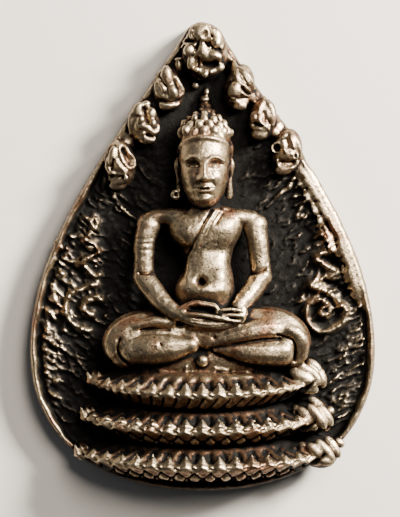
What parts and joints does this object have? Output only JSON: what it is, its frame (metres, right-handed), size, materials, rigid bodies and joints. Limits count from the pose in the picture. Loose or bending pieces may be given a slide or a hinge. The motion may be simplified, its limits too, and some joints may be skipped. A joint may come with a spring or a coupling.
{
  "type": "naga buddha amulet",
  "caption": "Leaf-shaped cast bronze votive amulet: a meditating figure on a tiered lotus throne, sheltered by serpent heads. Lies on its flat back.",
  "frame": {"origin": "middle of the flat back, at the bottom centre of the bounding box", "axes": "+X to the viewer's right, +Y towards the leaf's tip, +Z out of the face; the amulet lies face up on its back"},
  "size_m": [0.028, 0.038, 0.0071],
  "materials": {
    "aged_bronze": "aged cast bronze, worn bright on the high relief, dark patina in the recesses"
  },
  "bodies": {
    "root": {"naga_amulet": "aged_bronze"}
  },
  "joints": []
}
